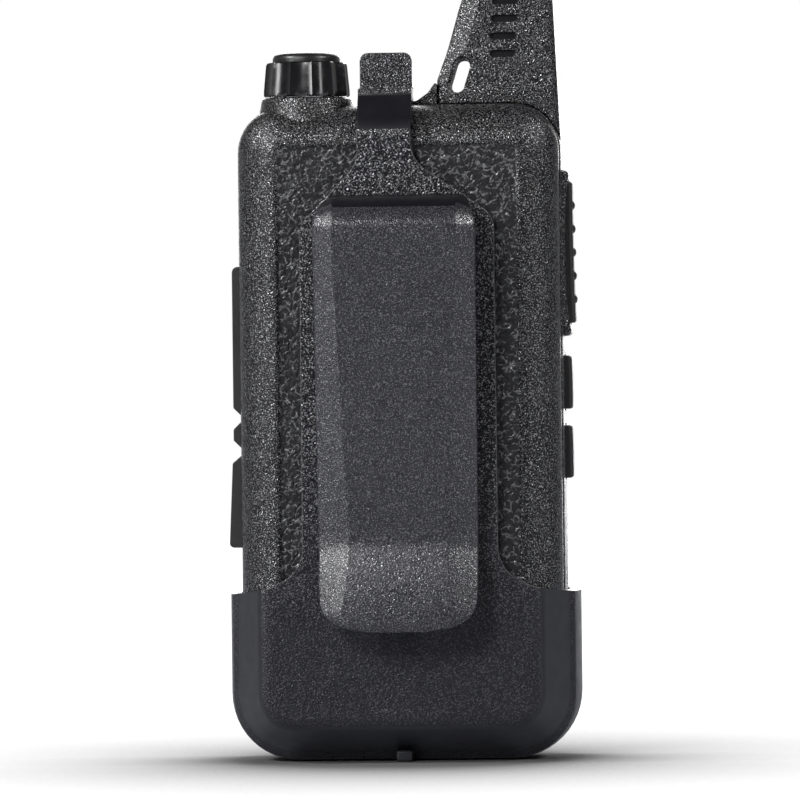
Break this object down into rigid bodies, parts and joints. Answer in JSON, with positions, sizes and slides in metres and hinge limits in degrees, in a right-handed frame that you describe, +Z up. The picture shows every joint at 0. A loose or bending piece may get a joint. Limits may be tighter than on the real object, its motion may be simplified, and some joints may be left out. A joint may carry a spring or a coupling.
{
  "type": "portable two-way radio in a belt-clip holster",
  "caption": "Slim hand-held two-way radio in an open belt-clip holster, with blade antenna, volume knob, talk button, side keys and rubber socket covers.",
  "frame": {"origin": "on the flat underside of the holster, in the middle of its width and of the radio's thickness", "axes": "+Z up along the radio, towards the antenna tip; +Y out of the back, through the belt clip; +X towards the socket covers"},
  "size_m": [0.054, 0.0346, 0.152],
  "materials": {
    "case_plastic": "spark-eroded grain, with a leather grain on the back panel",
    "holster_plastic": "coarse spark-eroded grain on the faces, satin on the bevels",
    "knob_plastic": "satin",
    "rubber": "matt",
    "grille": "satin",
    "lens": "clear, polished",
    "steel": "nickel-plated",
    "brass": "plated, bright",
    "board": "solder-resist green",
    "chip": "moulded, matt",
    "battery_wrap": "foil pouch",
    "paper_cone": "matt pulp"
  },
  "bodies": {
    "radio": {"front_case": "case_plastic", "speaker_grille": "grille", "battery_cover": "case_plastic", "rear_chassis": "chip", "holster_cradle": "holster_plastic", "antenna_blade": "case_plastic", "antenna_feed": "brass", "antenna_coil": "brass", "antenna_screw": "steel", "volume_pot": "steel", "pot_nut": "steel", "ptt_switch": "chip", "side_switch_upper": "chip", "side_switch_lower": "chip", "jack_cover_anchor": "rubber", "jack_3_5mm": "chip", "jack_2_5mm": "chip", "charge_port": "steel", "main_board": "board", "shield_can": "steel", "radio_chip": "chip", "status_led": "lens", "led_lens": "lens", "case_screw_1": "steel", "case_screw_2": "steel", "case_screw_3": "steel", "case_screw_4": "steel", "board_screw_1": "steel", "board_screw_2": "steel", "speaker_frame": "steel", "speaker_cone": "paper_cone", "speaker_magnet": "steel", "microphone": "steel", "mic_boot": "rubber", "battery_pack": "battery_wrap", "battery_contact_1": "brass", "battery_contact_2": "brass", "battery_contact_3": "brass"},
    "knob": {"volume_knob": "knob_plastic", "knob_cap": "knob_plastic", "pot_shaft": "steel"},
    "talk_button": {"ptt_button": "rubber"},
    "upper_key": {"side_key_upper": "rubber"},
    "lower_key": {"side_key_lower": "rubber"},
    "audio_cover": {"accessory_flap": "rubber"},
    "charge_cover": {"charge_flap": "rubber"},
    "clip": {"belt_clip": "holster_plastic"},
    "latch": {"latch_arm": "holster_plastic"}
  },
  "joints": [
    {"name": "volume_turn", "type": "hinge", "parent": "radio", "child": "knob", "pos_m": [0.0142, 0.001, 0.1019], "axis": [0, 0, -1], "range_deg": [0, 280]},
    {"name": "talk_press", "type": "slide", "parent": "radio", "child": "talk_button", "axis": [1, 0, 0], "range_m": [0, 0.0008], "stiffness_N_per_m": 1500},
    {"name": "upper_key_press", "type": "slide", "parent": "radio", "child": "upper_key", "axis": [1, 0, 0], "range_m": [0, 0.0006], "stiffness_N_per_m": 1200},
    {"name": "lower_key_press", "type": "slide", "parent": "radio", "child": "lower_key", "axis": [1, 0, 0], "range_m": [0, 0.0006], "stiffness_N_per_m": 1200},
    {"name": "audio_cover_open", "type": "hinge", "parent": "radio", "child": "audio_cover", "pos_m": [0.0248, -0.0018, 0.0527], "axis": [0, 1, 0], "range_deg": [0, 85]},
    {"name": "charge_cover_open", "type": "hinge", "parent": "radio", "child": "charge_cover", "pos_m": [0.0248, -0.0018, 0.0474], "axis": [0, -1, 0], "range_deg": [0, 85]},
    {"name": "clip_flex", "type": "hinge", "parent": "radio", "child": "clip", "pos_m": [0, 0.0147, 0.0846], "axis": [1, 0, 0], "range_deg": [0, 9], "stiffness_Nm_per_rad": 3.5},
    {"name": "latch_flex", "type": "hinge", "parent": "radio", "child": "latch", "pos_m": [0, 0.0118, 0.0916], "axis": [-1, 0, 0], "range_deg": [0, 6], "stiffness_Nm_per_rad": 0.6}
  ]
}
